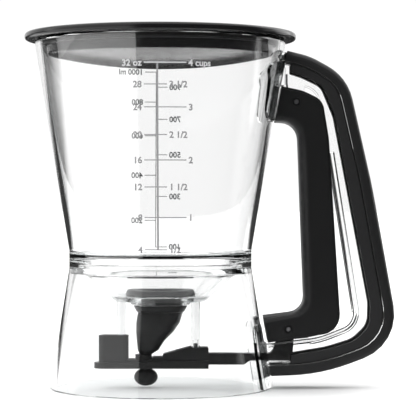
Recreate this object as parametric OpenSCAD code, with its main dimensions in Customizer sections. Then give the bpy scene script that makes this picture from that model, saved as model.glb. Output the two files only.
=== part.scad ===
/* [Reservoir] */
// Outer radius of the tapering wall at the mouth
mouth_r = 63.55; // [61:0.05:67]
// Height of the mouth above the table
mouth_z = 175.4; // [168:0.1:190]
// Outer radius of the tapering wall at its foot
shoulder_r = 46.1; // [44:0.1:50]
// Height of the foot of the tapering wall
shoulder_z = 69.8; // [69:0.1:76]
// Thickness of the reservoir wall
wall = 2.5; // [1.8:0.1:3.2]
// Width of the step from the shoulder in to the bowl
bowl_step = 8.5; // [6:0.1:10]
// Inner radius of the flat bottom of the bowl
bowl_floor_r = 22.4; // [21.5:0.1:26]
// Height of the flat bottom of the bowl
bowl_floor_z = 47.6; // [46:0.1:50]
// Thickness of the bowl
bowl_wall = 3.6; // [2.8:0.1:4.4]
// Radius of the outlet hole
outlet_r = 11.7; // [10.8:0.1:12.4]

/* [Base] */
// Outer radius of the base ring on the table
foot_r = 55.8; // [53:0.1:60]
// Height of the seam between the base and the reservoir
seam_z = 63.3; // [62:0.1:66]
// Thickness of the base wall
skirt_wall = 2.5; // [1.8:0.1:3]

/* [Valve] */
// Travel of the slide bar and the nozzle
stroke = 7.4; // [6:0.1:8]
// Radius of the round nozzle end
nozzle_r = 6; // [5:0.1:7]
// Radius of the batter passage in the nozzle
passage_r = 1.6; // [1:0.1:2.2]
// Height of the nozzle tip above the table
tip_z = 0.95; // [0.6:0.05:1.5]
// Radius of the valve flange in the bowl
flange_r = 18; // [15.5:0.1:20]
// Thickness of the valve flange
flange_t = 3.25; // [2:0.05:4.5]

/* [Slide bar] */
// Distance of the rear guide post from the outlet axis
rear_post = 19.9; // [19:0.1:20.2]
// Distance of the front guide post from the outlet axis
front_post = 17.7; // [17.6:0.1:19]
// Radius of the guide posts
post_r = 2.3; // [1.9:0.05:2.4]
// Height of the underside of the slide bar
bar_z = 10; // [9:0.1:11]
// Height of the boss around the rear post, above the underside
boss_h = 16.7; // [12:0.1:20]
// Half width of the bar where it leaves the base
bar_half = 3.6; // [3:0.1:3.8]

/* [Handle] */
// Height of the trigger pivot
pivot_z = 144.5; // [141:0.1:149]
// Distance of the trigger pivot from the reservoir wall
pivot_out = 10; // [10:0.1:13]
// Height of the link pin
link_z = 30.2; // [29:0.1:32]
// Distance of the link pin from the base wall
link_out = 13.45; // [13:0.05:15]
// Distance of the upper grip corner out from the pivot
reach_high = 21.05; // [19:0.25:26]
// Distance of the lower grip corner out from the link pin
reach_low = 51.1; // [48:0.1:56]
// Thickness of the palm grip
palm_t = 4.7; // [3.5:0.1:6]
// Half width of the palm grip
palm_half = 12; // [11.2:0.1:14]
// Thickness of the two side walls of the handle frame
frame_wall = 2; // [1.4:0.1:2.2]
// Clear width between the side walls of the handle frame
channel_w = 8.4; // [8:0.1:9]
// Thickness of the saddles that lie on the body
saddle_t = 1.4; // [1:0.1:2]

/* [Trigger] */
// Half width of the soft trigger grip
trigger_half = 10.6; // [10.3:0.1:11]
// Thickness of the soft grip on the finger side
finger_skin = 1.6; // [1.2:0.1:2.2]
// Thickness of the stiff wall behind the finger side
finger_wall = 2; // [1.5:0.1:2.4]
// Thickness of the two cheeks of the trigger
cheek_t = 2.05; // [1.6:0.05:2.3]

/* [Pins and spring] */
// Radius of the steel pins
pin_r = 1.15; // [0.9:0.05:1.3]
// Diameter of the spring wire
wire_d = 1; // [0.7:0.05:1.2]
// Mean radius of the spring coil
coil_r = 3.2; // [2.9:0.05:3.5]
// Full turns of the spring coil
coil_turns = 4; // [2:1:5]

/* [Lid] */
// Outer radius of the lid
lid_r = 68.6; // [66:0.1:73]
// Thickness of the lid rim
rim_t = 3.6; // [2.6:0.1:5]
// Depth of the lid plug below the mouth
plug_h = 7.1; // [5:0.1:12]
// Thickness of the lid plate
lid_t = 2.1; // [1.5:0.1:3]
// How far the lid plate bulges down in its middle
lid_sag = 6; // [2:0.1:7]
// Height of the seal ring on the plug
seal_h = 2.4; // [1.6:0.1:2.6]

/* [Clearances] */
// Gap between fixed pieces that lie on each other
seat_gap = 0.1; // [0.05:0.05:0.2]
// Gap between the lid or its seal and the mouth
lid_gap = 0.3; // [0.2:0.05:0.4]
// Running gap of the pivot pin in the trigger
running_gap = 0.05; // [0.03:0.01:0.08]
// Gap of the pressed pins in their holes
press_gap = 0.02; // [0.01:0.01:0.03]
// Gap of the link pin in the eye of the slide bar
link_gap = 0.2; // [0.15:0.01:0.3]
// Gap of the slide bar around posts and washers
slide_gap = 0.35; // [0.25:0.05:0.4]

/* [Hidden] */
$fn = 96;

clear_plastic = [0.86, 0.88, 0.88, 0.45];
pillar_plastic = [0.8, 0.83, 0.84, 0.8];
black_plastic = [0.1, 0.1, 0.11];
black_rubber = [0.06, 0.06, 0.065];
black_silicone = [0.09, 0.09, 0.095];
steel = [0.62, 0.63, 0.64];

// Inner radius of the bowl where it meets the shoulder
bowl_r = shoulder_r - bowl_step;

// The tapering wall of the reservoir and the flaring wall of the base, as radius over height
waist_z = seam_z - 2.6;
function reservoir_r(z) = shoulder_r + (mouth_r - shoulder_r) * (z - shoulder_z) / (mouth_z - shoulder_z);
function skirt_r(z) = foot_r + (shoulder_r - foot_r) * z / waist_z;

// Levels of the bowl, its neck and the guide posts
neck_z = bowl_floor_z - 5.7;
bowl_under_z = bowl_floor_z - bowl_wall;
neck_r = outlet_r + 3.3;
bead_h = 3.45;
washer_t = 0.7;
screw_head_h = 1.4;
washer_z = bar_z + 1.6;
post_z = washer_z + washer_t;
ledge_z = post_z + 0.25;
screw_r = 1;
screw_head_r = 2.4;
washer_r = 3.4;

// The nozzle stands one stroke behind the outlet axis while the valve is shut
nozzle_x = -stroke;
nozzle_top_z = bar_z;
collar_top_z = bar_z + 6.9;
neck_tube_r = nozzle_r / 2;

// The handle is drawn in the XZ plane. Its corners are [x, z, fillet radius].
pivot = [reservoir_r(pivot_z) + pivot_out, pivot_z];
link = [skirt_r(link_z) + link_out, link_z];
high = pivot + [reach_high, 9];
low = link + [reach_low, -7];
bow = 1.4;
middle = high + 0.38 * (low - high) + bow * [1, 0.2];

function corner(p, dx, dz, r = 0) = [p.x + dx, p.y + dz, r];

back_line = [
    corner(pivot, -13, 22.3),
    corner(pivot, 4.9, 17.9, 30),
    corner(high, 0, 0, 20),
    corner(middle, 0, 0, 500),
    corner(low, -0.6, 2.7, 18.5),
    corner(link, 15.6, -17.4, 90),
    corner(link, -14.4, -18.5)
];
rim_line = [
    corner(pivot, -11.5, 8.8),
    corner(high, -10.1, -0.9, 9),
    corner(low, -17.4, 10, 8),
    corner(link, 15.6, -4.2, 40),
    corner(link, -14.4, -7.9)
];
inner_line = [
    corner(pivot, -2.8, 14.9),
    corner(pivot, 3.6, 12.8, 30),
    corner(high, -8, -0.8, 8),
    corner(high, -1.7, -16, 15),
    corner(middle, -6.6, -0.3, 300),
    corner(low, -10, 19.6, 14),
    corner(low, -10.2, 8.6, 10),
    corner(low, -18, 1.1, 14),
    corner(link, 19.8, -10, 60),
    corner(link, -7.6, -14.5)
];
finger_line = [
    corner(pivot, -10.7, -10),
    corner(pivot, -8.8, -10.1, 40),
    corner(pivot, 0.55, -10.5, 8.5),
    corner(pivot, 1.2, -23.5, 200),
    corner(link, 8.2, 9, 8),
    corner(link, -12.6, 6.4)
];
open_line = [
    corner(pivot, -7.4, 7.8),
    corner(pivot, 3.1, 5.7, 25),
    corner(pivot, 13.2, 0.8, 8),
    corner(pivot, 16.4, -18.5, 60),
    corner(link, 26.5, -1.2, 10),
    corner(link, -10.2, -6.8)
];

// Half widths across the handle, from the middle out
channel_half = channel_w / 2;
frame_half = channel_half + frame_wall;
bead_half = frame_half + 0.7;
cheek_inner = bead_half + 0.4;
cheek_outer = cheek_inner + cheek_t;
flange_half = palm_half - 1;
web_t = 0.9;
lip_depth = 0.6;
bead_d = 3;
lug_r = 4.5;
root_in = 5.4;
hole_r = 2.2;
end_wall = 1.2;

// Paths with rounded corners. Every corner of a rail has the same number of steps,
// so two rails with as many corners can be joined ring by ring.
function wrap(a) = a > 180 ? a - 360 : a < -180 ? a + 360 : a;
function left(a) = [-sin(a), cos(a)];
function heading(p, q) = atan2(q.y - p.y, q.x - p.x);
function bend(p, q, s, d, n) =
    let (
        a = heading(p, q),
        turn = wrap(heading(q, s) - a),
        side = turn < 0 ? -1 : 1,
        start = [q.x, q.y] - [cos(a), sin(a)] * q.z * tan(abs(turn) / 2),
        centre = start + side * q.z * left(a)
    )
    [for (i = [0 : n]) centre + (d - side * q.z) * left(a + turn * i / n)];
function end_point(p, a, d) = [p.x, p.y] + d * left(a);
function rail(c, d, n = 6) =
    let (last = len(c) - 1)
    concat(
        [end_point(c[0], heading(c[0], c[1]), d)],
        [for (k = [1 : last - 1]) each bend(c[k - 1], c[k], c[k + 1], d, n)],
        [end_point(c[last], heading(c[last - 1], c[last]), d)]
    );
function rounded(c, n = 5) =
    let (m = len(c))
    [for (k = [0 : m - 1])
        each c[k].z == 0 ? [[c[k].x, c[k].y]] : bend(c[(k + m - 1) % m], c[k], c[(k + 1) % m], 0, n)];
function stretched(p, q, e) =
    let (u = [p.x - q.x, p.y - q.y, 0])
    p + e * u / norm(u);
function extended(c, first, last) =
    let (n = len(c) - 1)
    [for (i = [0 : n])
        i == 0 ? stretched(c[0], c[1], first) : i == n ? stretched(c[n], c[n - 1], last) : c[i]];
function reversed(v) = [for (i = [len(v) - 1 : -1 : 0]) v[i]];
function mirrored(half) = concat(half, [for (i = [len(half) - 1 : -1 : 0]) [-half[i].x, half[i].y, half[i].z]]);

module revolved(corners, n = 5) rotate_extrude() polygon(rounded(corners, n));

// Turns a drawing in the XZ plane into a plate between two Y values
module plate(y0, y1) translate([0, y1, 0]) rotate([90, 0, 0]) linear_extrude(y1 - y0) children();

module both_sides(y0, y1) {
    plate(y0, y1) children();
    plate(-y1, -y0) children();
}

module cross_hole(p, r, half) translate([p.x, half, p.y]) rotate([90, 0, 0]) cylinder(r = r, h = 2 * half);

module strip(outer, inner) polygon(concat(outer, reversed(inner)));

// A closed skin over rings of points, where each ring has as many points as the first
module skin(rings) {
    m = len(rings[0]);
    last = len(rings) - 1;
    polyhedron(
        points = [for (r = rings) each r],
        faces = concat(
            [[for (j = [m - 1 : -1 : 0]) j]],
            [for (i = [0 : last - 1]) for (j = [0 : m - 1]) let (k = (j + 1) % m)
                each [[i * m + j, i * m + k, (i + 1) * m + k], [i * m + j, (i + 1) * m + k, (i + 1) * m + j]]],
            [[for (j = [0 : m - 1]) last * m + j]]
        ),
        convexity = 8
    );
}

// Sweeps sections between two rails. Section points are [depth, y], with the depth counted from the near rail.
function swept(near, far, section) =
    [for (i = [0 : len(near) - 1])
        let (span = norm(far[i] - near[i]), u = (far[i] - near[i]) / span)
        [for (s = section(span)) let (p = near[i] + u * s.x) [p.x, s.y, p.y]]];

module body_form(d) {
    rotate_extrude()
        polygon([
            [0, -1], [skirt_r(-1) + d, -1], [shoulder_r + d, waist_z], [shoulder_r + d, shoulder_z],
            [reservoir_r(mouth_z + 5) + d, mouth_z + 5], [0, mouth_z + 5]
        ]);
}

module reservoir() {
    color(clear_plastic)
        revolved([
            [bowl_r + 1.6, seam_z, 1.5], [shoulder_r, seam_z, 0],
            [shoulder_r, shoulder_z, 6], [mouth_r, mouth_z, 1.2],
            [reservoir_r(mouth_z) - wall, mouth_z, 1],
            [shoulder_r - wall, seam_z + 4.4, 2], [bowl_r, seam_z + 4.4, 2.5],
            [bowl_r - 1.6, seam_z - 3.3, 6], [bowl_floor_r, bowl_floor_z, 3],
            [outlet_r, bowl_floor_z, 0.5], [outlet_r, neck_z, 0.3],
            [neck_r, neck_z, 0.6], [neck_r, bowl_under_z, 0.5],
            [bowl_floor_r + 0.6, bowl_under_z, 1], [bowl_r + 0.6, seam_z - 5.5, 8]
        ]);
}

module base_skirt() {
    slot_half = bar_half + 0.8;
    slot_z = bar_z + 1.2;
    slot_h = 7.2;
    weld_r = shoulder_r - skirt_wall - 2;
    weld_h = 2;
    weld_foot_z = seam_z - 5;
    color(clear_plastic)
        difference() {
            revolved([
                [foot_r, 0, 0.4], [shoulder_r, waist_z, 5], [shoulder_r, seam_z, 0],
                [weld_r, seam_z, 0], [weld_r, seam_z - weld_h, 0.7],
                [skirt_r(weld_foot_z) - skirt_wall, weld_foot_z, 2], [foot_r - skirt_wall, 0, 0.4]
            ]);
            translate([0, -slot_half, slot_z]) cube([foot_r + 5, 2 * slot_half, slot_h]);
        }
}

module guide_post(x) {
    color(pillar_plastic)
        translate([x, 0, 0])
            difference() {
                translate([0, 0, post_z]) cylinder(r = post_r, h = bowl_under_z - post_z);
                translate([0, 0, post_z - 1]) cylinder(r = screw_r + press_gap, h = 13);
            }
}

module guide_washer(x) {
    color(steel)
        translate([x, 0, washer_z])
            difference() {
                cylinder(r = washer_r, h = washer_t);
                translate([0, 0, -1]) cylinder(r = screw_r + 0.2, h = washer_t + 2);
            }
}

module guide_screw(x) {
    color(steel)
        translate([x, 0, 0])
            difference() {
                union() {
                    translate([0, 0, washer_z - screw_head_h]) cylinder(r = screw_head_r, h = screw_head_h);
                    translate([0, 0, washer_z - 0.1]) cylinder(r = screw_r, h = 11);
                }
                for (a = [0, 90])
                    rotate([0, 0, a])
                        translate([-1.4, -0.25, washer_z - screw_head_h - 1]) cube([2.8, 0.5, 1.7]);
            }
}

// The silicone valve: a flange in the bowl, a sleeve through the outlet and a bead that snaps in below it
module valve_flange() {
    sleeve_r = outlet_r - seat_gap;
    bore_r = outlet_r - 2.1;
    top_z = bowl_floor_z + 0.05 + flange_t;
    bead_z = neck_z - 0.05;
    bead_under_z = bead_z - bead_h;
    color(black_silicone)
        revolved([
            [sleeve_r, bowl_floor_z + 0.05, 0], [flange_r, bowl_floor_z + 0.05, 0.6],
            [flange_r - 1.2, top_z, 1], [bore_r + 2.2, top_z, 1.2], [bore_r, top_z - 2.2, 1],
            [bore_r, bead_under_z, 0], [outlet_r + 0.3, bead_under_z, 1], [outlet_r + 2.1, bead_z, 0.4],
            [sleeve_r, bead_z, 0]
        ]);
}

// The rings of the bent cone, as [x, z, radius] from the bead down to the nozzle
module valve_cone() {
    cone_wall = 1.7;
    top_z = neck_z - bead_h - 0.1;
    foot_z = collar_top_z + 0.3;
    drop = top_z - foot_z;
    levels = [
        [0, 0, outlet_r - 0.3], [0.18, 0.26, outlet_r - 0.7], [0.4, 0.475, outlet_r - 2.25],
        [0.68, 0.69, outlet_r - 4.65], [0.85, 0.91, outlet_r - 6.4], [0.95, 0.97, neck_tube_r + 1],
        [1, 1, neck_tube_r + 0.4]
    ];
    function ring(level, inset) =
        [for (j = [0 : 31]) let (a = j * 360 / 32, r = max(passage_r, level.z - inset))
            [nozzle_x * level.x + r * cos(a), r * sin(a), top_z - drop * level.y]];
    over = 0.2;
    bore = concat(
        [[for (p = ring(levels[0], cone_wall)) p + [0, 0, over]]],
        [for (level = levels) ring(level, cone_wall)],
        [[for (p = ring(levels[len(levels) - 1], cone_wall)) p - [0, 0, over]]]
    );
    color(black_silicone)
        difference() {
            skin([for (level = levels) ring(level, 0)]);
            skin(bore);
        }
}

module nozzle() {
    ball_h = nozzle_top_z - tip_z;
    ball = [for (i = [0 : 24]) let (a = -90 + i * 180 / 24)
        [nozzle_r * cos(a), tip_z + ball_h / 2 + ball_h / 2 * sin(a)]];
    color(black_silicone)
        translate([nozzle_x, 0, 0])
            difference() {
                union() {
                    rotate_extrude() polygon(ball);
                    translate([0, 0, nozzle_top_z - 1])
                        cylinder(r = neck_tube_r, h = collar_top_z + 0.25 - nozzle_top_z + 1);
                }
                translate([0, 0, -1]) cylinder(r = passage_r, h = collar_top_z + 5);
            }
}

// The bar that carries the nozzle between the guide posts and ends in an eye on the link pin
module slide_bar() {
    plate_half = 6;
    block_half = 4.6;
    eye_r = 3.2;
    tail_x = -rear_post - stroke - post_r - 4.1;
    rear_slot = [-rear_post - stroke - post_r - slide_gap, -rear_post + post_r + slide_gap];
    front_slot = [front_post - stroke - post_r - slide_gap, front_post + post_r + slide_gap];
    under_z = bar_z + 1.9;
    out_z = bar_z + 4;
    top_z = bar_z + 7.6;
    leave_x = skirt_r(out_z) - stroke - 4;
    nose_x = front_slot[1] + 4;
    color(black_plastic)
        difference() {
            union() {
                // rear plate, round at its end
                translate([0, 0, bar_z])
                    linear_extrude(3)
                        polygon(rounded([
                            [tail_x, plate_half, 5.9], [tail_x, -plate_half, 5.9],
                            [nozzle_x, -plate_half, 0], [nozzle_x, plate_half, 0]
                        ], 10));
                // front plate
                translate([nozzle_x, -plate_half, bar_z]) cube([nose_x - nozzle_x, 2 * plate_half, 4]);
                // boss round the rear post
                translate([0, 0, bar_z + 1])
                    linear_extrude(boss_h - 1)
                        polygon(rounded([
                            [rear_slot[0] - 1.4, block_half, 3], [rear_slot[0] - 1.4, -block_half, 3],
                            [rear_slot[1] + 1.1, -block_half, 3], [rear_slot[1] + 1.1, block_half, 3]
                        ]));
                plate(-block_half, block_half)
                    polygon([
                        [rear_slot[1], bar_z + 1], [nozzle_x - 4, bar_z + 1], [nozzle_x - 4, bar_z + 4],
                        [nozzle_x - 6, bar_z + 4.6], [rear_slot[1], bar_z + 4.6]
                    ]);
                // collar round the nozzle neck, with a slanting top
                intersection() {
                    translate([nozzle_x, 0, bar_z + 0.2]) cylinder(r = 5.4, h = collar_top_z - bar_z - 0.2);
                    plate(-6, 6)
                        polygon([
                            [nozzle_x - 6, bar_z], [nozzle_x + 6, bar_z], [nozzle_x + 6, collar_top_z - 2.3],
                            [nozzle_x - 1, collar_top_z], [nozzle_x - 6, collar_top_z]
                        ]);
                }
                // wedge block round the front post
                plate(-block_half, block_half)
                    polygon(rounded([
                        [nozzle_x + 3.6, bar_z + 1, 0], [nose_x, bar_z + 1, 0], [nose_x, top_z + 3, 0.8],
                        [nose_x - 5.6, top_z + 3, 0.4], [nose_x - 6.6, top_z + 2.3, 0.4],
                        [nose_x - 9.1, top_z + 3.4, 0.6], [nozzle_x + 8.7, top_z - 0.4, 0.5],
                        [nozzle_x + 8.7, top_z - 1.8, 0.4], [nozzle_x + 3.6, top_z - 1.8, 0]
                    ], 4));
                // bar through the base wall
                plate(-bar_half, bar_half)
                    polygon(rounded([
                        [nose_x - 1, under_z, 0], [leave_x, under_z, 0], [leave_x + 3, out_z, 0],
                        [link.x + 2.1, out_z, 1], [link.x + eye_r, link.y - 2, 2],
                        [link.x + eye_r - 0.1, link.y + eye_r, 3], [link.x - eye_r, link.y + eye_r, 3],
                        [link.x - eye_r, link.y - 2, 3], [link.x - 6.1, link.y - 7, 4],
                        [link.x - 8.6, top_z, 2.5], [nose_x - 1, top_z, 0]
                    ], 6));
            }
            cross_hole(link, pin_r + link_gap, 10);
            translate([nozzle_x, 0, bar_z - 1]) cylinder(r = neck_tube_r + 0.3, h = 12);
            for (slot = [rear_slot, front_slot]) {
                slot_half = post_r + slide_gap;
                recess_half = washer_r + slide_gap;
                recess_x = slot[0] - washer_r + post_r;
                recess_end = slot[1] + washer_r - post_r;
                translate([slot[0], -slot_half, bar_z - 1])
                    cube([slot[1] - slot[0], 2 * slot_half, boss_h + 2]);
                translate([recess_x, -recess_half, bar_z - 1])
                    cube([recess_end - recess_x, 2 * recess_half, ledge_z - bar_z + 1]);
            }
        }
}

// Fixed part of the handle: a channel with two side walls, a flange for the grips and two saddles on the body
module handle_frame() {
    notch_half = trigger_half + 0.7;
    upper_saddle = mirrored([
        [notch_half, pivot_z + 8.5, 1], [notch_half, pivot_z - 9.9, 2],
        [notch_half + 13.2, pivot_z - 9.9, 8], [notch_half + 16.2, pivot_z + 10, 5],
        [notch_half + 19.7, pivot_z + 15.9, 3], [palm_half, pivot_z + 24.7, 4]
    ]);
    lower_saddle = mirrored([
        [notch_half, link_z - 7.4, 1], [notch_half, link_z + 3.2, 3],
        [notch_half + 10.2, link_z + 3.2, 6], [notch_half + 12.7, link_z - 11.8, 8],
        [notch_half + 13.2, 1, 1]
    ]);
    back = rail(back_line, 0);
    rim = rail(rim_line, 0);
    color(clear_plastic)
        difference() {
            union() {
                both_sides(channel_half, frame_half) strip(back, rim);
                plate(-flange_half, flange_half) strip(rail(back_line, web_t / 2), rail(back_line, -web_t / 2));
                both_sides(channel_half, bead_half)
                    intersection() {
                        strip(rail(rim_line, bead_d), rim);
                        square([low.x, pivot_z - 25]);
                    }
                both_sides(channel_half, frame_half)
                    polygon(rounded([
                        corner(pivot, -lug_r, 12), corner(pivot, -lug_r, -lug_r, lug_r - 0.05),
                        corner(pivot, lug_r, -lug_r, lug_r - 0.05), corner(pivot, lug_r, 12)
                    ], 8));
                plate(-frame_half, frame_half)
                    polygon(rounded([
                        corner(pivot, -14, 8.5), corner(pivot, -root_in, 8.5, 1),
                        corner(pivot, -root_in, 18, 1), corner(pivot, -14, 20)
                    ]));
                intersection() {
                    body_form(seat_gap + saddle_t);
                    rotate([90, 0, 90])
                        linear_extrude(low.x) {
                            polygon(rounded(upper_saddle));
                            polygon(rounded(lower_saddle));
                        }
                }
            }
            body_form(seat_gap);
            cross_hole(pivot, pin_r + press_gap, 20);
            translate([0, -bar_half - 0.8, bar_z + 1]) cube([foot_r + 6, 2 * bar_half + 1.6, 7.6]);
        }
}

module palm_grip() {
    edge = 3;
    seat = web_t / 2 + seat_gap;
    lip_half = flange_half + seat_gap;
    long_line = extended(back_line, 3, 3);
    section = function (span) rounded([
        [0, -palm_half, 0.4], [span, -palm_half, edge], [span, palm_half, edge], [0, palm_half, 0.4]
    ], 4);
    color(black_rubber)
        difference() {
            skin(swept(rail(back_line, seat - lip_depth), rail(back_line, seat + palm_t), section));
            plate(-lip_half, lip_half) strip(rail(long_line, seat), rail(long_line, -seat - lip_depth));
            body_form(2 * seat_gap + saddle_t + 0.4);
        }
}

module inner_grip(side) {
    inner = rail(inner_line, 0);
    color(black_rubber)
        mirror([0, side < 0 ? 1 : 0, 0])
            difference() {
                plate(frame_half + seat_gap, flange_half)
                    intersection() {
                        strip(rail(back_line, -web_t / 2 - seat_gap), inner);
                        translate([inner_line[0].x, 0]) square([low.x, mouth_z]);
                    }
                body_form(2 * seat_gap + saddle_t + 0.4);
                both_sides(0, bead_half + seat_gap)
                    strip(rail(rim_line, bead_d + seat_gap), rail(rim_line, -5));
            }
}

// The stiff U-shaped lever, open toward the handle
module trigger_lever() {
    near = rail(finger_line, finger_skin);
    open = rail(open_line, 0);
    hollow_line = [for (k = [0, 2, 3, 4, 5]) finger_line[k]];
    hollow_near = rail(extended(hollow_line, -end_wall, 6), finger_skin + finger_wall);
    hollow_open = rail(extended(open_line, -end_wall, 6), cheek_outer);
    color(black_plastic)
        difference() {
            plate(-cheek_outer, cheek_outer) strip(near, open);
            plate(-cheek_inner, cheek_inner) strip(hollow_near, hollow_open);
            cross_hole(pivot, pin_r + running_gap, 20);
            cross_hole(link, pin_r + press_gap, 20);
        }
}

// The soft grip over the lever, round on the finger side and a little shorter than the cheeks
module trigger_grip() {
    round_r = 4.5;
    gap = 0.06;
    short = 1;
    far = rail(extended(open_line, 3, 3), 12);
    section = function (span) rounded([
        [0, -trigger_half, round_r], [span, -trigger_half, 0], [span, trigger_half, 0], [0, trigger_half, round_r]
    ], 6);
    color(black_rubber)
        difference() {
            skin(swept(rail(finger_line, 0), rail(open_line, 0), section));
            plate(-cheek_outer - gap, cheek_outer + gap)
                strip(rail(extended(finger_line, 3, 3), finger_skin - gap), far);
            plate(-palm_half, palm_half) strip(rail(extended(open_line, 3, 3), -short), far);
            for (p = [pivot, link]) cross_hole(p, hole_r, 20);
        }
}

module cross_pin(p, half) {
    color(steel)
        translate([p.x, -half, p.y])
            rotate([-90, 0, 0])
                rotate_extrude()
                    polygon([[0, 0], [pin_r - 0.25, 0], [pin_r, 0.25],
                        [pin_r, 2 * half - 0.25], [pin_r - 0.25, 2 * half], [0, 2 * half]]);
}

// Torsion spring on the pivot pin: one leg bears on the root of the frame, the other on the finger wall
module return_spring() {
    sides = 8;
    wire_r = wire_d / 2;
    steps = 16 * coil_turns + 8;
    pitch = wire_d * 1.08;
    leg_gap = 0.25;
    leg_rise = 14.2;
    up_leg = pivot + [leg_gap + wire_r - root_in, leg_rise];
    down_x = finger_line[2].x + finger_skin + finger_wall + wire_r + 0.75;
    turned = function (i) let (a = 180 - i * 360 / 16) a;
    spot = function (i)
        let (a = turned(i), y = (i / steps - 0.5) * pitch * steps / 16)
        [pivot.x + coil_r * cos(a), y, pivot.y + coil_r * sin(a)];
    y_end = pitch * steps / 32;
    path = concat(
        [[up_leg.x, -y_end, up_leg.y], [up_leg.x, -y_end, up_leg.y - 5], [pivot.x - coil_r, -y_end, pivot.y + 3]],
        [for (i = [0 : steps]) spot(i)],
        [[pivot.x + coil_r, y_end, pivot.y - 3], [down_x, y_end, pivot.y - 12], [down_x + 0.25, y_end, pivot.y - 24]]
    );
    last = len(path) - 1;
    rings = [for (i = [0 : last])
        let (
            t = path[min(i + 1, last)] - path[max(i - 1, 0)],
            u = t / norm(t),
            v = cross(u, [0, 1, 0]),
            n = v / norm(v),
            b = cross(u, n)
        )
        [for (j = [0 : sides - 1]) path[i] + wire_r * (cos(j * 360 / sides) * n + sin(j * 360 / sides) * b)]];
    color(steel) skin(rings);
}

module lid() {
    under_z = mouth_z + lid_gap;
    top_z = under_z + rim_t;
    plug_r = reservoir_r(mouth_z) - wall - 3.75;
    dish_z = mouth_z - plug_h + lid_t;
    collar_r = plug_r + 0.9;
    function dish(r, z) = [for (k = r) [k * plug_r, z - lid_sag * (1 - k * k), 0]];
    rise = [0.15 : 0.15 : 0.9];
    fall = [0.9 : -0.15 : 0.15];
    color(black_plastic)
        revolved(concat(
            [[0, mouth_z - plug_h - lid_sag, 0]],
            dish(rise, mouth_z - plug_h),
            [
                [plug_r - 0.4, mouth_z - plug_h - 0.1, 1.2],
                [plug_r, mouth_z - 2.8, 0], [collar_r, mouth_z - 2.8, 0.3], [collar_r, under_z, 0.3],
                [lid_r, under_z, 1.4], [lid_r, top_z, 1.6], [plug_r + 1, top_z, 1.4],
                [plug_r - 2.7, dish_z - 0.4, 1.2]
            ],
            dish(fall, dish_z),
            [[0, dish_z - lid_sag, 0]]
        ));
}

module lid_seal() {
    seat_r = reservoir_r(mouth_z) - wall - 2.85 + seat_gap / 2;
    seal_z = mouth_z - 2.6;
    lip_r = reservoir_r(seal_z) - wall - lid_gap;
    color(black_rubber)
        revolved([
            [seat_r, seal_z, 0.3], [lip_r - 0.8, seal_z, 0.4], [lip_r, seal_z + 0.4 * seal_h, 0.4],
            [lip_r - 0.5, seal_z + seal_h, 0.4], [seat_r, seal_z + seal_h, 0.3]
        ], 3);
}

reservoir();
base_skirt();
guide_post(-rear_post);  // guide_post_rear
guide_post(front_post);  // guide_post_front
guide_washer(-rear_post);  // guide_washer_rear
guide_washer(front_post);  // guide_washer_front
guide_screw(-rear_post);  // guide_screw_rear
guide_screw(front_post);  // guide_screw_front
valve_flange();
valve_cone();
nozzle();
slide_bar();
handle_frame();
palm_grip();
inner_grip(1);  // inner_grip_left
inner_grip(-1);  // inner_grip_right
trigger_lever();
trigger_grip();
cross_pin(pivot, trigger_half - 0.4);  // pivot_pin
cross_pin(link, trigger_half - 0.4);  // link_pin
return_spring();
lid();
lid_seal();
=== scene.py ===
import math

import bmesh
import bpy
from mathutils import Matrix, Vector


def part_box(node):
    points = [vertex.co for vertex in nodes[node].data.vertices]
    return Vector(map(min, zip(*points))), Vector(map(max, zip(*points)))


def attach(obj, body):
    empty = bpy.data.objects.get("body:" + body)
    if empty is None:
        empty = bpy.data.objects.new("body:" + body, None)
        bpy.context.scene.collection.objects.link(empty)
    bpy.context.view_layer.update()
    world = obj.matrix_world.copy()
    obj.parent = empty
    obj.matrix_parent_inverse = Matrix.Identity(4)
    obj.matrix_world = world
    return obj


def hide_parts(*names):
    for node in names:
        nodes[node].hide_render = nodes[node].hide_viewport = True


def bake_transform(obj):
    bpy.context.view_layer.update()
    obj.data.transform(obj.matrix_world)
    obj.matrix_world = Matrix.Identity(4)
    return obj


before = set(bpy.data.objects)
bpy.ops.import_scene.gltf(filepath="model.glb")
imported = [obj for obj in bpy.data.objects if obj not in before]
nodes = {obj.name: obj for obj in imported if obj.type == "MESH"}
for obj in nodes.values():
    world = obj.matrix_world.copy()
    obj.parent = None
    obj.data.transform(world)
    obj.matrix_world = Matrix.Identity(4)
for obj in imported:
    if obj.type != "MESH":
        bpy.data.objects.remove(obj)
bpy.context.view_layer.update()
print("frame loaded:", len(nodes), "nodes")

# camera, lights and floor

picture = {
    "side": 416,
    "metresPerPixel": 0.000507,  # at the jug's axis
    "axisColumn": 160.5,
    "tableRow": 387.7,
    "horizonRow": 197.6,
    "cameraPixels": 1870,  # distance of the camera
    "sensor": 36,
    "nearest": 0.05,
    "farthest": 30,
}


def addCamera():
    scale = picture["metresPerPixel"]
    half = picture["side"] / 2
    data = bpy.data.cameras.new("camera")
    data.sensor_width = picture["sensor"]
    data.lens = picture["sensor"] * picture["cameraPixels"] / picture["side"]
    data.clip_start = picture["nearest"]
    data.clip_end = picture["farthest"]
    camera = bpy.data.objects.new("camera", data)
    camera.location = (
        (half - picture["axisColumn"]) * scale,
        -picture["cameraPixels"] * scale,
        (picture["tableRow"] - picture["horizonRow"]) * scale,
    )
    dip = math.atan((half - picture["horizonRow"]) / picture["cameraPixels"])
    camera.rotation_euler = (math.pi / 2 - dip, 0, 0)
    bpy.context.collection.objects.link(camera)
    bpy.context.scene.camera = camera


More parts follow.
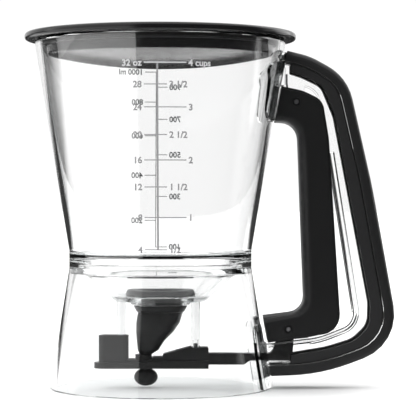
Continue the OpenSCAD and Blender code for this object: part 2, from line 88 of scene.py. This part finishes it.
studio = {
    "backdrop": 1.03,  # what the camera sees behind the object
    "panels": 8,  # they stand round the object and give the clear walls their dark edges
    "panel": 1.16,  # what shines through the clear plastic
    "panelEdge": (-0.5, 0.5),  # on a wave with a crest at each panel
    "panelGap": 0.08,  # share of the light between the panels
    "panelFade": (0.3, 0.6),  # from this height up they are dimmer
    "panelTop": 0.7,
    "overhead": 2.3,  # the room as the glossy pieces mirror it
    "horizon": 0.06,
    "horizonFade": (0.42, 0.85),
    "behind": 1.0,  # light that stands behind the object on its left and right
    "behindSide": (0.03, 0.1),
    "behindBack": (0, 0.3),
    "target": (0.02, 0, 0.09),  # the softboxes face it
}
softboxes = [
    # degrees from the front, degrees up, distance, size and radiance
    {"name": "keyBox", "turn": -65, "rise": 12, "away": 1.1,
     "width": 2.0, "height": 1.5, "radiance": 1.2},
    {"name": "rimBox", "turn": 128, "rise": 25, "away": 1.3,
     "width": 0.7, "height": 1.3, "radiance": 1.6},
]
mirroredDepth = 0.5  # a ray's glossy depth is above this once it was mirrored


def newNode(tree, kind, **values):
    node = tree.nodes.new(kind)
    for key, value in values.items():
        if hasattr(node, key):
            setattr(node, key, value)
        else:
            node.inputs[key.replace("_", " ")].default_value = value
    return node


def scaled(tree, source, fade, toLow, toHigh):
    node = newNode(
        tree, "ShaderNodeMapRange", interpolation_type="SMOOTHSTEP",
        From_Min=fade[0], From_Max=fade[1], To_Min=toLow, To_Max=toHigh,
    )
    tree.links.new(source, node.inputs["Value"])
    return node.outputs["Result"]


def calculated(tree, operation, first, second):
    node = newNode(tree, "ShaderNodeMath", operation=operation)
    for socket, value in zip(node.inputs, (first, second)):
        if isinstance(value, bpy.types.NodeSocket):
            tree.links.new(value, socket)
        else:
            socket.default_value = value
    return node.outputs[0]


def addWorld():
    world = bpy.data.worlds.new("studio")
    world.use_nodes = True
    tree = world.node_tree
    tree.nodes.clear()
    link = tree.links.new
    rays = newNode(tree, "ShaderNodeLightPath")
    place = newNode(tree, "ShaderNodeTexCoord")
    split = newNode(tree, "ShaderNodeSeparateXYZ")
    link(place.outputs["Generated"], split.inputs[0])
    height = split.outputs["Z"]
    room = newNode(tree, "ShaderNodeBackground")
    above = scaled(tree, height, studio["horizonFade"], studio["horizon"], studio["overhead"])
    sideways = calculated(tree, "ABSOLUTE", split.outputs["X"], 0)
    side = scaled(tree, sideways, studio["behindSide"], 0, studio["behind"])
    back = scaled(tree, split.outputs["Y"], studio["behindBack"], 0, 1)
    behind = calculated(tree, "MULTIPLY", side, back)
    link(calculated(tree, "MAXIMUM", above, behind), room.inputs["Strength"])
    turn = calculated(tree, "ARCTAN2", split.outputs["Y"], split.outputs["X"])
    turn = calculated(tree, "MULTIPLY", turn, studio["panels"])
    wave = calculated(tree, "COSINE", turn, 0)
    around = scaled(tree, wave, studio["panelEdge"], studio["panelGap"], 1)
    panels = newNode(tree, "ShaderNodeBackground")
    dimmer = studio["panel"] * studio["panelTop"]
    upward = scaled(tree, height, studio["panelFade"], studio["panel"], dimmer)
    link(calculated(tree, "MULTIPLY", around, upward), panels.inputs["Strength"])
    backdrop = newNode(tree, "ShaderNodeBackground", Strength=studio["backdrop"])
    seenThrough = newNode(tree, "ShaderNodeMixShader")
    # what is mirrored before it is seen through the plastic comes from the room
    straight = calculated(tree, "LESS_THAN", rays.outputs["Glossy Depth"], mirroredDepth)
    straight = calculated(tree, "MULTIPLY", rays.outputs["Is Transmission Ray"], straight)
    link(straight, seenThrough.inputs[0])
    link(room.outputs[0], seenThrough.inputs[1])
    link(panels.outputs[0], seenThrough.inputs[2])
    seen = newNode(tree, "ShaderNodeMixShader")
    link(rays.outputs["Is Camera Ray"], seen.inputs[0])
    link(seenThrough.outputs[0], seen.inputs[1])
    link(backdrop.outputs[0], seen.inputs[2])
    for light in (room, panels, backdrop):
        light.inputs["Color"].default_value = (1, 1, 1, 1)
    out = newNode(tree, "ShaderNodeOutputWorld")
    link(seen.outputs[0], out.inputs["Surface"])
    bpy.context.scene.world = world
    bpy.context.scene.view_settings.view_transform = "Standard"


def addSoftbox(box):
    data = bpy.data.lights.new(box["name"], "AREA")
    data.shape = "RECTANGLE"
    data.size = box["width"]
    data.size_y = box["height"]
    data.energy = box["radiance"] * math.pi * box["width"] * box["height"]
    turn = math.radians(box["turn"])
    rise = math.radians(box["rise"])
    flat = math.cos(rise)
    out = Vector((math.sin(turn) * flat, -math.cos(turn) * flat, math.sin(rise)))
    light = bpy.data.objects.new(box["name"], data)
    light.location = Vector(studio["target"]) + out * box["away"]
    light.rotation_mode = "QUATERNION"
    light.rotation_quaternion = (-out).to_track_quat("-Z", "Y")
    light.visible_camera = False
    light.visible_transmission = False
    bpy.context.collection.objects.link(light)


floorLook = {
    "size": 24,
    "color": (0.95, 0.95, 0.95, 1),
    "roughness": 0.6,
    "dark": (0.03, 0.03, 0.03, 1),  # painted reflection: mirrored rays see the floor in this dark colour round the table patch
    "tableMiddle": (0, 0.2, 0),  # painted reflection: in mirrored rays the floor stays white only on this table-shaped patch
    "tableLength": 6,  # times its depth
    "tableEdge": (0.28, 0.4),
    "rightSide": (0.1, 0.2),  # on the right the table starts farther back
    "rightStart": (0.2, 0.3),
    "frontSlope": 0.36,  # in front it is white on the left of this slope only
    "slopeEdge": (0, 0.02),
    "frontEnd": (-0.05, 0.05),
}


def paintedReflectionMask(tree, place):
    # mask of the painted reflection: 0 on the white table patch and 1 round it, where mirrored
    # rays see the floor painted dark
    look = floorLook
    table = newNode(tree, "ShaderNodeMapping", vector_type="TEXTURE")
    table.inputs["Location"].default_value = look["tableMiddle"]
    table.inputs["Scale"].default_value = (look["tableLength"], 1, 1)
    reach = newNode(tree, "ShaderNodeVectorMath", operation="LENGTH")
    split = newNode(tree, "ShaderNodeSeparateXYZ")
    tree.links.new(place, table.inputs["Vector"])
    tree.links.new(table.outputs["Vector"], reach.inputs[0])
    tree.links.new(place, split.inputs[0])
    x, y = split.outputs["X"], split.outputs["Y"]
    away = scaled(tree, reach.outputs["Value"], look["tableEdge"], 0, 1)
    rightSide = scaled(tree, x, look["rightSide"], 0, 1)
    rightStart = scaled(tree, y, look["rightStart"], 1, 0)
    away = calculated(tree, "MAXIMUM", away, calculated(tree, "MULTIPLY", rightSide, rightStart))
    slope = calculated(tree, "MULTIPLY", y, look["frontSlope"])
    leftward = calculated(tree, "SUBTRACT", slope, x)
    right = scaled(tree, leftward, look["slopeEdge"], 1, 0)
    rear = scaled(tree, y, look["frontEnd"], 0, 1)
    return calculated(tree, "MULTIPLY", away, calculated(tree, "MAXIMUM", right, rear))


def addFloor():
    look = floorLook
    material = newMaterial("paleFloor", baseColor=look["color"], roughness=look["roughness"])
    tree = material.node_tree
    away = paintedReflectionMask(tree, objectPlace(material))
    # painted reflection: where the mask is 1, rays mirrored off glossy parts see the floor as a
    # dark diffuse instead of white
    rays = newNode(tree, "ShaderNodeLightPath")
    mirrored = calculated(tree, "GREATER_THAN", rays.outputs["Glossy Depth"], mirroredDepth)
    dark = newNode(tree, "ShaderNodeBsdfDiffuse", Color=look["dark"])
    mixSurface(material, calculated(tree, "MULTIPLY", away, mirrored), dark)
    shape = bmesh.new()
    bmesh.ops.create_grid(shape, x_segments=1, y_segments=1, size=look["size"] / 2)
    floor = meshObject("studioFloor", shape, material)


# helpers for pieces and materials


def meshObject(name, shape, material, smoothAngle=None):
    mesh = bpy.data.meshes.new(name)
    shape.to_mesh(mesh)
    shape.free()
    mesh.materials.append(material)
    if smoothAngle is not None:
        mesh.shade_smooth()
        mesh.set_sharp_from_angle(angle=math.radians(smoothAngle))
    piece = bpy.data.objects.new(name, mesh)
    bpy.context.collection.objects.link(piece)
    return piece


def newMaterial(name, baseColor, roughness, **sockets):
    material = bpy.data.materials.new(name)
    material.use_nodes = True
    shader = material.node_tree.nodes["Principled BSDF"]
    shader.inputs["Base Color"].default_value = baseColor
    shader.inputs["Roughness"].default_value = roughness
    for key, value in sockets.items():
        shader.inputs[key.replace("_", " ")].default_value = value
    return material


def mixSurface(material, share, other):
    tree = material.node_tree
    mix = newNode(tree, "ShaderNodeMixShader")
    tree.links.new(share, mix.inputs[0])
    tree.links.new(tree.nodes["Principled BSDF"].outputs[0], mix.inputs[1])
    tree.links.new(other.outputs[0], mix.inputs[2])
    tree.links.new(mix.outputs[0], tree.nodes["Material Output"].inputs["Surface"])


def groupNode(material, group, **values):
    node = material.node_tree.nodes.new("ShaderNodeGroup")
    node.node_tree = group
    for key, value in values.items():
        node.inputs[key].default_value = value
    return node


def objectPlace(material):
    return material.node_tree.nodes.new("ShaderNodeTexCoord").outputs["Object"]


def newGroup(name, inputs, outputs):
    group = bpy.data.node_groups.new(name, "ShaderNodeTree")
    for label, kind, value in inputs:
        socket = group.interface.new_socket(label, in_out="INPUT", socket_type=kind)
        if value is not None:
            socket.default_value = value
    for label, kind in outputs:
        group.interface.new_socket(label, in_out="OUTPUT", socket_type=kind)
    return group, group.nodes.new("NodeGroupInput"), group.nodes.new("NodeGroupOutput")


def makeGrainGroup():
    # fine moulded grain with a slow change of gloss, on object coordinates in metres
    group, given, out = newGroup(
        "mouldedGrain",
        [
            ("Place", "NodeSocketVector", None),
            ("Grain", "NodeSocketFloat", 2500.0),
            ("Patch", "NodeSocketFloat", 40.0),
            ("Rough", "NodeSocketFloat", 0.5),
            ("Spread", "NodeSocketFloat", 0.1),
        ],
        [("Height", "NodeSocketFloat"), ("Roughness", "NodeSocketFloat")],
    )
    link = group.links.new
    fine = newNode(group, "ShaderNodeTexNoise", Detail=2.0)
    slow = newNode(group, "ShaderNodeTexNoise", Detail=3.0)
    link(given.outputs["Place"], fine.inputs["Vector"])
    link(given.outputs["Grain"], fine.inputs["Scale"])
    link(given.outputs["Place"], slow.inputs["Vector"])
    link(given.outputs["Patch"], slow.inputs["Scale"])
    centred = newNode(group, "ShaderNodeMath", operation="SUBTRACT")
    centred.inputs[1].default_value = 0.5
    link(slow.outputs["Fac"], centred.inputs[0])
    gloss = newNode(group, "ShaderNodeMath", operation="MULTIPLY_ADD")
    link(centred.outputs[0], gloss.inputs[0])
    link(given.outputs["Spread"], gloss.inputs[1])
    link(given.outputs["Rough"], gloss.inputs[2])
    link(fine.outputs["Fac"], out.inputs["Height"])
    link(gloss.outputs[0], out.inputs["Roughness"])
    return group


def addGrain(material, group, bump, distance, **values):
    tree = material.node_tree
    shader = tree.nodes["Principled BSDF"]
    grain = groupNode(material, group, **values)
    tree.links.new(objectPlace(material), grain.inputs["Place"])
    tree.links.new(grain.outputs["Roughness"], shader.inputs["Roughness"])
    relief = newNode(tree, "ShaderNodeBump", Strength=bump, Distance=distance)
    tree.links.new(grain.outputs["Height"], relief.inputs["Height"])
    tree.links.new(relief.outputs["Normal"], shader.inputs["Normal"])


clearLook = {
    "ior": 1.57,
    "roughness": 0.015,
    "tint": (0.45, 0.47, 0.47, 1),
    "absorption": 14.0,
    "postAbsorption": 120.0,
    "bounces": 7.5,  # after so many a ray goes straight on
    "lightKept": (0.93, 0.94, 0.94, 1),  # of what passes through to the floor
}


def makeClearPlastic(name, absorption):
    look = clearLook
    material = newMaterial(
        name, (1, 1, 1, 1), look["roughness"], IOR=look["ior"], Transmission_Weight=1.0,
    )
    tree = material.node_tree
    rays = newNode(tree, "ShaderNodeLightPath").outputs
    passing = calculated(tree, "MAXIMUM", rays["Is Shadow Ray"], rays["Is Diffuse Ray"])
    spent = calculated(tree, "GREATER_THAN", rays["Ray Depth"], look["bounces"])
    window = newNode(tree, "ShaderNodeBsdfTransparent", Color=look["lightKept"])
    mixSurface(material, calculated(tree, "MAXIMUM", passing, spent), window)
    depth = newNode(tree, "ShaderNodeVolumeAbsorption", Density=absorption, Color=look["tint"])
    tree.links.new(depth.outputs[0], tree.nodes["Material Output"].inputs["Volume"])
    return material


blackFinishes = {
    # base tone, roughness, specular level, grain size, bump and how much the gloss wanders
    "palmRubber": (0.009, 0.5, 0.3, 3200.0, 0.25, 0.14),
    "sideRubber": (0.012, 0.55, 0.3, 3200.0, 0.3, 0.12),
    "triggerRubber": (0.007, 0.42, 0.28, 3000.0, 0.2, 0.12),
    "leverPlastic": (0.01, 0.3, 0.4, 2400.0, 0.1, 0.1),
    "lidPlastic": (0.007, 0.14, 0.3, 2400.0, 0.1, 0.1),
    "barPlastic": (0.007, 0.34, 0.3, 2400.0, 0.12, 0.12),
    "valveSilicone": (0.005, 0.4, 0.25, 1800.0, 0.08, 0.12),
}
blackGrain = {"bluish": 1.05, "depth": 0.0002, "patch": 30.0}
steelLook = {
    "color": (0.32, 0.32, 0.33, 1),
    "roughness": 0.34,
    "bump": 0.1,
    "depth": 0.00005,
    "grain": 6000.0,
    "patch": 200.0,
    "spread": 0.2,
}
inkLook = {
    # the second tone is painted light: a lighter copy of the same ink for the top mark, which
    # reads brighter over the dark lid behind it
    "tones": {"scaleInk": 0.26, "paintedLighterInk": 0.55},
    "bluish": 1.02,
    "roughness": 0.5,
    "bump": 0.05,
    "depth": 0.00003,
    "grain": 4000.0,
    "patch": 300.0,
    "spread": 0.2,
}


def makeGrained(name, color, look, grain, **sockets):
    material = newMaterial(name, color, look["roughness"], **sockets)
    addGrain(
        material, grain, look["bump"], look["depth"],
        Grain=look["grain"], Patch=look["patch"], Rough=look["roughness"], Spread=look["spread"],
    )
    return material


def makeMaterials():
    grain = makeGrainGroup()
    made = {
        "clearPlastic": makeClearPlastic("clearPlastic", clearLook["absorption"]),
        "greyPlastic": makeClearPlastic("greyPlastic", clearLook["postAbsorption"]),
    }
    for name, (tone, rough, specular, size, bump, spread) in blackFinishes.items():
        look = dict(blackGrain, roughness=rough, grain=size, bump=bump, spread=spread)
        color = (tone, tone, tone * look["bluish"], 1)
        made[name] = makeGrained(name, color, look, grain, Specular_IOR_Level=specular)
    made["steel"] = makeGrained("steel", steelLook["color"], steelLook, grain, Metallic=1.0)
    for name, tone in inkLook["tones"].items():
        color = (tone, tone, tone * inkLook["bluish"], 1)
        made[name] = makeGrained(name, color, inkLook, grain)
    return made


nodeMaterials = {
    "reservoir": "clearPlastic",
    "base_skirt": "clearPlastic",
    "guide_post_rear": "greyPlastic",
    "guide_post_front": "greyPlastic",
    "guide_washer_rear": "steel",
    "guide_washer_front": "steel",
    "guide_screw_rear": "steel",
    "guide_screw_front": "steel",
    "valve_flange": "valveSilicone",
    "valve_cone": "valveSilicone",
    "nozzle": "valveSilicone",
    "slide_bar": "barPlastic",
    "handle_frame": "clearPlastic",
    "palm_grip": "palmRubber",
    "inner_grip_left": "sideRubber",
    "inner_grip_right": "sideRubber",
    "trigger_lever": "leverPlastic",
    "trigger_grip": "triggerRubber",
    "pivot_pin": "steel",
    "link_pin": "steel",
    "return_spring": "steel",
    "lid": "lidPlastic",
    "lid_seal": "valveSilicone",
}

# width in metres of the rounded edges of each node
edgeWidths = {
    "slide_bar": 0.0005,
    "palm_grip": 0.0012,
    "inner_grip_left": 0.0004,
    "inner_grip_right": 0.0004,
    "trigger_lever": 0.0004,
    "trigger_grip": 0.002,
}
rounding = {
    "segments": 3,
    "sharpFrom": math.radians(40),
    "weld": 0.00001,  # joins the loose triangles of a node
    "flat": math.radians(1),  # makes one face of those in a plane
}


def roundEdges(piece, width):
    bevel = piece.modifiers.new("edges", "BEVEL")
    bevel.width = width
    bevel.segments = rounding["segments"]
    bevel.limit_method = "ANGLE"
    bevel.angle_limit = rounding["sharpFrom"]
    bevel.harden_normals = True


def dressNodes(materials):
    for name, look in nodeMaterials.items():
        mesh = nodes[name].data
        mesh.materials.clear()
        mesh.materials.append(materials[look])
    for name, width in edgeWidths.items():
        weld = nodes[name].modifiers.new("weld", "WELD")
        weld.merge_threshold = rounding["weld"]
        flat = nodes[name].modifiers.new("flatFaces", "DECIMATE")
        flat.decimate_type = "DISSOLVE"
        flat.angle_limit = rounding["flat"]
        roundEdges(nodes[name], width)


def weldedCopy(name):
    shape = bmesh.new()
    shape.from_mesh(nodes[name].data)
    bmesh.ops.remove_doubles(shape, verts=shape.verts, dist=rounding["weld"])
    return shape


# clear frame of the handle, with its inner rim rounded to a bead

frameRim = {
    "name": "clearFrame",
    "outside": 0.0069,  # distance of the bead's faces from the middle plane
    "inside": 0.0042,
    "tolerance": 0.00002,
    "facing": 0.00003,  # an inner edge is this near to an outer one, seen from the side
    "rounding": 0.0012,
    "segments": 4,
    "otherEdges": 0.0003,
    "smoothTo": 30,
}


def liesAt(edge, distance):
    gaps = [abs(abs(vertex.co.y) - distance) for vertex in edge.verts]
    return max(gaps) < frameRim["tolerance"]


def addFrame(material):
    look = frameRim
    shape = weldedCopy("handle_frame")
    bmesh.ops.dissolve_limit(
        shape, angle_limit=rounding["flat"], verts=shape.verts, edges=shape.edges,
    )
    outer = [edge for edge in shape.edges if liesAt(edge, look["outside"])]
    corners = [vertex.co.xz for edge in outer for vertex in edge.verts]
    inner = []
    for edge in shape.edges:
        if liesAt(edge, look["inside"]):
            ends = [vertex.co.xz for vertex in edge.verts]
            gaps = [min((end - corner).length for corner in corners) for end in ends]
            if max(gaps) < look["facing"]:
                inner.append(edge)
    bmesh.ops.bevel(
        shape, geom=outer + inner, offset=look["rounding"], offset_type="OFFSET",
        segments=look["segments"], profile=0.5, affect="EDGES", material=-1,
    )
    piece = meshObject(look["name"], shape, material, smoothAngle=look["smoothTo"])
    roundEdges(piece, look["otherEdges"])
    smooth = piece.modifiers.new("flatSides", "WEIGHTED_NORMAL")
    smooth.keep_sharp = True
    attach(piece, "jug")
    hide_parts("handle_frame")


# soft valve and spring, copied with extra cuts along their height

valveSkin = {
    "name": "valveSkin",
    "top": (0, 0, 0.03835),
    "foot": (-0.0074, 0, 0.0172),
    "cuts": 14,
    "smoothTo": 40,
}
springWire = {
    "name": "springWire",
    "coil": 0.002,  # the coil ends this far below the pin's axis
    "leg": 0.012,
    "cuts": 8,
    "smoothTo": 40,
}


def addBendingPiece(look, node, material, start, end):
    shape = weldedCopy(node)
    for step in range(1, look["cuts"]):
        height = start[2] + (end[2] - start[2]) * step / look["cuts"]
        everything = shape.verts[:] + shape.edges[:] + shape.faces[:]
        bmesh.ops.bisect_plane(
            shape, geom=everything, plane_co=(0, 0, height), plane_no=(0, 0, 1),
        )
    piece = meshObject(look["name"], shape, material, smoothAngle=look["smoothTo"])
    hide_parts(node)
    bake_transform(piece)


def addValveSkin(material):
    look = valveSkin
    addBendingPiece(look, "valve_cone", material, look["top"], look["foot"])


def addSpring(material):
    look = springWire
    low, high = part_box("pivot_pin")
    pin = (Vector(low) + Vector(high)) / 2
    coil = (pin.x, 0, pin.z - look["coil"])
    leg = (pin.x, 0, pin.z - look["leg"])
    addBendingPiece(look, "return_spring", material, coil, leg)


# printed scale

jugWall = {"low": (0.0461, 0.0698), "high": (0.06355, 0.1754)}  # radius and height


def wallRadius(z):
    lowRadius, lowZ = jugWall["low"]
    highRadius, highZ = jugWall["high"]
    return lowRadius + (highRadius - lowRadius) * (z - lowZ) / (highZ - lowZ)


scalePrint = {
    "lift": 0.00003,  # of the ink off the wall
    "ink": 0.00004,
    "textHeight": 0.003,
    "capitals": 0.7,  # share of the type size
    "bolder": 0.03,
    "curveSteps": 3,
    "labelGap": 0.0011,
    "tickSteps": 6,
    "lineSteps": 24,
}
frontScale = {
    "name": "scaleFront",
    "topName": "scaleTopMark",  # its top mark is drawn in a lighter copy of the scale ink, painted light for the brighter look of the ink over the dark lid behind it
    "turn": 0,
    "lineWidth": 0.0009,
    "tickWidth": 0.0005,
    "lineAt": 0.0,
    "tickFrom": -0.0064,
    "longTick": 0.0139,
    "shortTick": 0.0045,
    "left": [
        (0.1606, "32 oz"), (0.1504, "28"), (0.1396, "24"), (0.1265, "20"),
        (0.1144, "16"), (0.1015, "12"), (0.0868, "8"), (0.0712, "4"),
    ],
    "right": ["4 cups", "3 1/2", "3", "2 1/2", "2", "1 1/2", "1", "1/2"],
}
rearScale = {
    "name": "scaleRear",
    "turn": math.pi,
    "lineWidth": 0.0004,
    "tickWidth": 0.0004,
    "lineAt": 0.0039,
    "tickTo": 0.0062,
    "marks": [
        (0.1642, "1000 ml"), (0.156, "900"), (0.1479, "800"), (0.1386, "700"), (0.1297, "600"),
        (0.1195, "500"), (0.1085, "400"), (0.0972, "300"), (0.0845, "200"), (0.0704, "100"),
    ],
}


def stripe(sheet, x0, x1, z0, z1, steps=scalePrint["tickSteps"]):
    made = bmesh.ops.create_grid(sheet, x_segments=steps, y_segments=steps, size=0.5)
    middle = Vector(((x0 + x1) / 2, 0, (z0 + z1) / 2))
    size = Matrix.Diagonal(Vector((x1 - x0, 1, z1 - z0, 1)))
    stand = Matrix.Rotation(math.pi / 2, 4, "X")
    place = Matrix.Translation(middle) @ size @ stand
    bmesh.ops.transform(sheet, matrix=place, verts=made["verts"])


def lettering(sheet, words, x, z, alignRight):
    height = scalePrint["textHeight"]
    curve = bpy.data.curves.new("words", "FONT")
    curve.body = words
    curve.size = height / scalePrint["capitals"]
    curve.align_x = "RIGHT" if alignRight else "LEFT"
    curve.offset = scalePrint["bolder"] * curve.size
    curve.resolution_u = scalePrint["curveSteps"]
    holder = bpy.data.objects.new("words", curve)
    bpy.context.collection.objects.link(holder)
    bpy.context.view_layer.update()
    ready = holder.evaluated_get(bpy.context.evaluated_depsgraph_get())
    mesh = bpy.data.meshes.new_from_object(ready)
    place = Matrix.Translation((x, 0, z - height / 2)) @ Matrix.Rotation(math.pi / 2, 4, "X")
    mesh.transform(place)
    sheet.from_mesh(mesh)
    bpy.data.objects.remove(holder)
    bpy.data.curves.remove(curve)
    bpy.data.meshes.remove(mesh)


def wrapOnJug(sheet, scale):
    for vertex in sheet.verts:
        radius = wallRadius(vertex.co.z) + scalePrint["lift"]
        angle = vertex.co.x / radius
        vertex.co.x = radius * math.sin(angle)
        vertex.co.y = -radius * math.cos(angle)
    around = Matrix.Rotation(scale["turn"], 3, "Z")
    bmesh.ops.rotate(sheet, verts=sheet.verts, cent=(0, 0, 0), matrix=around)


def finishScale(sheet, scale, name, material):
    bmesh.ops.triangulate(sheet, faces=sheet.faces)
    wrapOnJug(sheet, scale)
    piece = meshObject(name, sheet, material)
    thickness = piece.modifiers.new("ink", "SOLIDIFY")
    thickness.thickness = scalePrint["ink"]
    thickness.offset = 1
    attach(piece, "jug")


def addFrontMark(sheet, index):
    scale = frontScale
    half = scale["tickWidth"] / 2
    z, words = scale["left"][index]
    end = scale["longTick"] if index % 2 == 0 else scale["shortTick"]
    stripe(sheet, scale["tickFrom"], end, z - half, z + half)
    lettering(sheet, words, scale["tickFrom"] - scalePrint["labelGap"], z, True)
    lettering(sheet, scale["right"][index], end + scalePrint["labelGap"], z, False)


def addFrontScale(material, topMaterial):
    scale = frontScale
    topMark = bmesh.new()
    addFrontMark(topMark, 0)
    finishScale(topMark, scale, scale["topName"], topMaterial)
    sheet = bmesh.new()
    for index in range(1, len(scale["left"])):
        addFrontMark(sheet, index)
    top = scale["left"][0][0] - scale["tickWidth"]
    bottom = scale["left"][-1][0]
    left = scale["lineAt"] - scale["lineWidth"] / 2
    stripe(sheet, left, left + scale["lineWidth"], bottom, top, scalePrint["lineSteps"])
    finishScale(sheet, scale, scale["name"], material)


def addRearScale(material):
    scale = rearScale
    sheet = bmesh.new()
    half = scale["tickWidth"] / 2
    line = scale["lineAt"]
    for index, (z, words) in enumerate(scale["marks"]):
        side = 1 if index % 2 == 0 else -1
        end = line + side * scale["tickTo"]
        stripe(sheet, min(line, end), max(line, end), z - half, z + half)
        lettering(sheet, words, end + side * scalePrint["labelGap"], z, side < 0)
    top, bottom = scale["marks"][0][0], scale["marks"][-1][0]
    left = line - scale["lineWidth"] / 2
    stripe(sheet, left, left + scale["lineWidth"], bottom, top, scalePrint["lineSteps"])
    finishScale(sheet, scale, scale["name"], material)


addCamera()
addWorld()
for softbox in softboxes:
    addSoftbox(softbox)
addFloor()
print("studio ready")

materials = makeMaterials()
dressNodes(materials)
print("nodes dressed")

addFrame(materials["clearPlastic"])
addValveSkin(materials["valveSilicone"])
addSpring(materials["steel"])
print("handle frame, valve skin and spring made")

# the top mark gets the lighter copy of the ink, painted light rather than a different print
addFrontScale(materials["scaleInk"], materials["paintedLighterInk"])
addRearScale(materials["scaleInk"])
print("scales printed")
